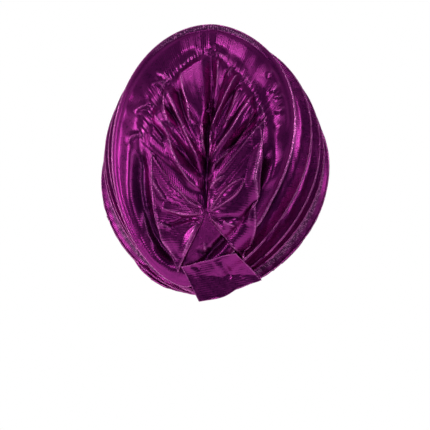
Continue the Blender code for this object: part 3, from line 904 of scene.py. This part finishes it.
wing = {
    "grid": (120, 76),
    "drawnShare": 1.3,
    "body": 0.0015,
    "lift": 0.0032,
    "hem": 0.0007,
    "waveHeight": 0.0004,
    "creasing": 0.0008,
    "pinch": 0.12,  # share of the height that is left where the folds close at the knot
    "clear": 0.0011,
}
leaf = {"from": (0.008, 0.026), "to": (0.042, 0.060), "half": 0.0062, "height": 0.0026}


def leafShape(x, z):
    # the looped fold on the right end: how high it stands, and a mark on its outline that gets a painted
    # highlight
    start, tip = np.array(leaf["from"]), np.array(leaf["to"])
    length = np.linalg.norm(tip - start)
    way = (tip - start) / length
    along = ((x - start[0]) * way[0] + (z - start[1]) * way[1]) / length
    aside = (x - start[0]) * way[1] - (z - start[1]) * way[0]
    half = leaf["half"] * np.sin(np.pi * np.clip(along, 0, 1) ** 1.5) ** 0.7
    inside = half > 0.0004
    share = np.where(inside, np.abs(aside) / np.maximum(half, 0.0004), 9)
    rolled = hill((share - 0.82) / 0.3) + 0.45 * np.clip(1 - share**2, 0, 1)
    return leaf["height"] * rolled * inside, hill((share - 0.85) / 0.2) * inside


def makeWing(name, node, look, depths):
    sizes = [np.linspace(0, 1, count) for count in wing["grid"]]
    down, out = np.meshgrid(*sizes, indexing="ij")
    flat = mix(alongEdge(look["inner"], down), alongEdge(look["outer"], down), out[..., None])
    x = turban["seamSide"] + flat[..., 0] * turban["rimWidth"] / 2
    z = flat[..., 1] * turban["topHeight"] - look["bow"] * 4 * out * (1 - out) * (1 - down) ** 3
    tall, marked = drawn(x, z, look["ridges"])
    low, _ = drawn(x, z, look["hollows"])
    body = wing["body"] * np.sin(np.pi * down) ** 0.5 * ramp(out, 0, 0.3)
    lift = wing["lift"] * out**1.6 * np.sin(np.pi * down) ** 0.6
    small = ripple(waves(8, (2, 9), (-3, 3)), down, out)
    fine = ridges(ripple(waves(7, (4, 12), (-1, 1)), down, out)) * (1 - out) ** 2 * ramp(out, 0.02, 0.10)
    hem = hill((out - 0.975) / 0.03) + hill((down - 0.015) / 0.02) + hill((down - 0.985) / 0.02)
    hem = np.minimum(hem, 1)
    height = tall * wing["drawnShare"] - low * wing["drawnShare"] + body + lift
    height = height + small * wing["waveHeight"] * ramp(out, 0.05, 0.3)
    height = height + fine * wing["creasing"] + hem * wing["hem"]
    # painted highlight on hems, creases and drawn ridges
    crestHighlight = np.maximum(np.maximum(hem * 0.6, fine * 0.4), marked)
    if look is rightWing:
        raised, outline = leafShape(x, z)
        height, crestHighlight = height + raised, np.maximum(crestHighlight, outline)
    pinched = mix(wing["pinch"], 1, ramp(out, 0, 0.10))
    points = lieOn(depths, x, z, np.maximum(height, 0) * pinched + wing["clear"])
    turn = math.radians(look["ribTurn"])
    ribs = np.stack([z * math.cos(turn) + x * math.sin(turn), x * math.cos(turn) - z * math.sin(turn)], -1)
    # painted shade in the hollows
    marks = {"crestHighlight": crestHighlight, "band": 0 * down, "cross": 0 * down, "paintedShade": sunken(height, False, 10)}
    return finishPiece(name, node, points, marks, False, shinyCloth, ribs)


# Nape tab: the folded tail
tab = {
    "width": 0.078,
    "height": 0.046,
    "top": -0.012,
    "straight": -0.62 * turban["napeDrop"],  # it hangs straight down below this height
    "grid": (110, 70),
    "topEdge": ((-0.32, -0.30), (0.00, -0.16), (0.36, 0.00)),
    "bottomEdge": ((-0.10, -1.07), (0.20, -0.94), (0.38, -0.78), (0.64, -0.61)),
    "ridges": (
        (((34, -37), (46, -42), (58, -41)), 2.0, 6, 5),
        (((12, -20), (16, -27), (19, -36)), 2.0, 5, 3),
        (((-12, -24), (-6, -30), (-4, -38)), 1.6, 4, 4),
    ),
    "hollows": (
        (((20, -20), (25, -30), (30, -38)), 3.0, 4, 5),
        (((-10, -26), (0, -28)), 1.5, 3, 3),
    ),
    "ribTurn": 12,
    "ridgeShare": 0.35,
    "hollowShare": 0.8,
    "hem": 0.0004,
    "waveHeight": 0.0003,
    "body": 0.0014,
    "clear": 0.0014,
    "sheet": {"flat": (0.085, 0.045), "held": "folded", "rests_on": ["crown_cloth", "left_wing_cloth"]},
}


def makeTab(depths):
    sizes = [np.linspace(0, 1, count) for count in tab["grid"]]
    across, up = np.meshgrid(*sizes, indexing="ij")
    flat = mix(alongEdge(tab["bottomEdge"], across), alongEdge(tab["topEdge"], across), up[..., None])
    x = turban["seamSide"] + flat[..., 0] * tab["width"]
    z = tab["top"] + flat[..., 1] * tab["height"]
    tall, marked = drawn(x, z, tab["ridges"])
    low, _ = drawn(x, z, tab["hollows"])
    hem = hill((across - 0.01) / 0.02) + hill((across - 0.99) / 0.02)
    hem = hem + hill((up - 0.985) / 0.03) + hill(up / 0.03)
    hem = np.minimum(hem, 1)
    small = ripple(waves(7, (2, 7), (-2, 2)), across, up)
    height = tall * tab["ridgeShare"] - low * tab["hollowShare"] + hem * tab["hem"]
    height = np.maximum(height + small * tab["waveHeight"] + tab["body"], 0)
    hung = lieOn(depths, x, np.maximum(z, tab["straight"]), height + tab["clear"])
    hung[..., 2] = hung[..., 2] + np.minimum(z - tab["straight"], 0)
    turn = math.radians(tab["ribTurn"])
    ribs = np.stack([z * math.cos(turn) - x * math.sin(turn), x * math.cos(turn) + z * math.sin(turn)], -1)
    # painted highlight on the hems and faintly on ridges, painted shade in the hollows
    marks = {"crestHighlight": np.maximum(hem * 0.6, marked * 0.15), "band": 0 * up, "cross": 0 * up}
    marks["paintedShade"] = sunken(height, False, 10)
    return finishPiece("nape_tab_cloth", "nape_tab", hung, marks, False, shinyCloth,
                       ribs)


makeCrown()
print("crown made")
layerOrder = ("crownEdge", "pleat1", "pleat2", "pleat3", "rim", "wrap1")
layerNodes = {"pleat1": "pleat_1", "pleat2": "pleat_2", "pleat3": "pleat_3", "rim": "rim"}
for before, key, after in zip(layerOrder, layerOrder[1:], layerOrder[2:]):
    makePleat(key, layerNodes[key], before, after)
print("pleats made")
makeWrap()
makeHeadBand()
print("front made")
drapeRadius = 0.030  # radius of the ball that the drape rolls over what lies below
backNames = ["crown_cloth", "pleat_1_cloth", "pleat_2_cloth", "pleat_3_cloth", "rim_cloth"]
backDepths = drape(readDepths(backNames), drapeRadius, 0.0026, 5)
makeWing("left_wing_cloth", "left_wing", leftWing, backDepths)
makeWing("right_wing_cloth", "right_wing", rightWing, backDepths)
print("wings made")
tiedDepths = drape(readDepths(backNames + ["left_wing_cloth", "right_wing_cloth"]), drapeRadius, 0.009, 16)
makeTab(tiedDepths)
print("tab made")

# Floor, lights and camera
studio = {
    "azimuth": math.radians(6),
    "distance": 1.75,
    "lens": 136.93,
    "aim": (0.0018, 0.0246),
    "floor": -0.40,
    "floorRadius": 1.3,
    "floorGlow": 0.45,  # keeps the floor pale
    "dimSide": (0.036, 0.031, 0.065, 1),
    "backdrop": (0.27, 0.27, 0.29, 1),
}
sideways = Vector((math.cos(studio["azimuth"]), math.sin(studio["azimuth"]), 0))
forward = Vector((-math.sin(studio["azimuth"]), math.cos(studio["azimuth"]), 0))
aim = sideways * studio["aim"][0] + Vector((0, 0, studio["aim"][1]))

for other in bpy.context.selected_objects:
    other.select_set(False)
bpy.ops.mesh.primitive_circle_add(vertices=96, radius=studio["floorRadius"], fill_type="NGON",
                                  location=(0, 0, studio["floor"]))
floor = bpy.context.object
floor.name = "floor"
paper = Finish("palePaper")
paperPlace = paper.node("TexCoord", output="Object")
floorColour = paper.tint(paper.noise(paperPlace, 6.0), (0.80, 0.80, 0.81, 1), (0.86, 0.86, 0.86, 1))
paper.feedShader(Base_Color=floorColour)
paper.shader.inputs["Roughness"].default_value = 0.9
paper.shader.inputs["Emission Color"].default_value = (1, 1, 1, 1)
paper.shader.inputs["Emission Strength"].default_value = studio["floorGlow"]
floor.data.materials.append(paper.material)

# each lamp: turn from the camera and height in degrees, distance, width, height, power, colour
lamps = {
    "leftBox": (-66, 24, 1.3, 0.11, 0.8, 4.4, (1, 1, 1)),
    "rightBox": (60, 28, 1.3, 0.08, 0.6, 3.1, (1, 1, 1)),
    "topBox": (10, 80, 1.2, 0.4, 0.12, 1.4, (1, 1, 1)),
    "backFill": (-14, 22, 1.5, 0.24, 0.30, 1.9, (1, 0.97, 1)),
    "sideStrip": (-108, 6, 1.2, 0.10, 0.9, 3.0, (1, 1, 1)),
}
for name, (turn, tilt, far, width, height, power, colour) in lamps.items():
    a = studio["azimuth"] + math.radians(turn)
    e = math.radians(tilt)
    way = Vector((math.sin(a) * math.cos(e), -math.cos(a) * math.cos(e), math.sin(e)))
    light = bpy.data.lights.new(name, "AREA")
    light.shape = "RECTANGLE"
    light.size, light.size_y = width, height
    light.energy = power
    light.color = colour
    lamp = bpy.data.objects.new(name, light)
    lamp.location = Vector((0, 0, 0.08)) + way * far
    lamp.rotation_euler = way.to_track_quat("Z", "Y").to_euler()
    bpy.context.scene.collection.objects.link(lamp)

world = bpy.data.worlds.new("studio")
bpy.context.scene.world = world
world.use_nodes = True
sky = world.node_tree
background = sky.nodes["Background"]
path = sky.nodes.new("ShaderNodeLightPath")
choice = sky.nodes.new("ShaderNodeMix")
choice.data_type = "RGBA"
choice.inputs[7].default_value = (1, 1, 1, 1)
sky.links.new(path.outputs["Is Camera Ray"], choice.inputs[0])
# the backdrop lights the edges, and the side of the camera is dim
direction = sky.nodes.new("ShaderNodeTexCoord")
facing = sky.nodes.new("ShaderNodeVectorMath")
facing.operation = "DOT_PRODUCT"
facing.inputs[1].default_value = forward
sky.links.new(direction.outputs["Generated"], facing.inputs[0])
spread = sky.nodes.new("ShaderNodeMapRange")
spread.inputs["From Min"].default_value = 0.05
spread.inputs["From Max"].default_value = 0.55
sky.links.new(facing.outputs["Value"], spread.inputs["Value"])
backdrop = sky.nodes.new("ShaderNodeMix")
backdrop.data_type = "RGBA"
backdrop.inputs[6].default_value = studio["dimSide"]
backdrop.inputs[7].default_value = studio["backdrop"]
sky.links.new(spread.outputs[0], backdrop.inputs[0])
sky.links.new(backdrop.outputs[2], choice.inputs[6])
sky.links.new(choice.outputs[2], background.inputs[0])

lensData = bpy.data.cameras.new("camera")
lensData.lens = studio["lens"]
lensData.sensor_width = 36
camera = bpy.data.objects.new("camera", lensData)
basis = Matrix((sideways, (0, 0, 1), -forward)).transposed().to_4x4()
camera.matrix_world = Matrix.Translation(aim - forward * studio["distance"]) @ basis
bpy.context.scene.collection.objects.link(camera)
bpy.context.scene.camera = camera
bpy.context.scene.view_settings.view_transform = "Standard"
print("studio ready")
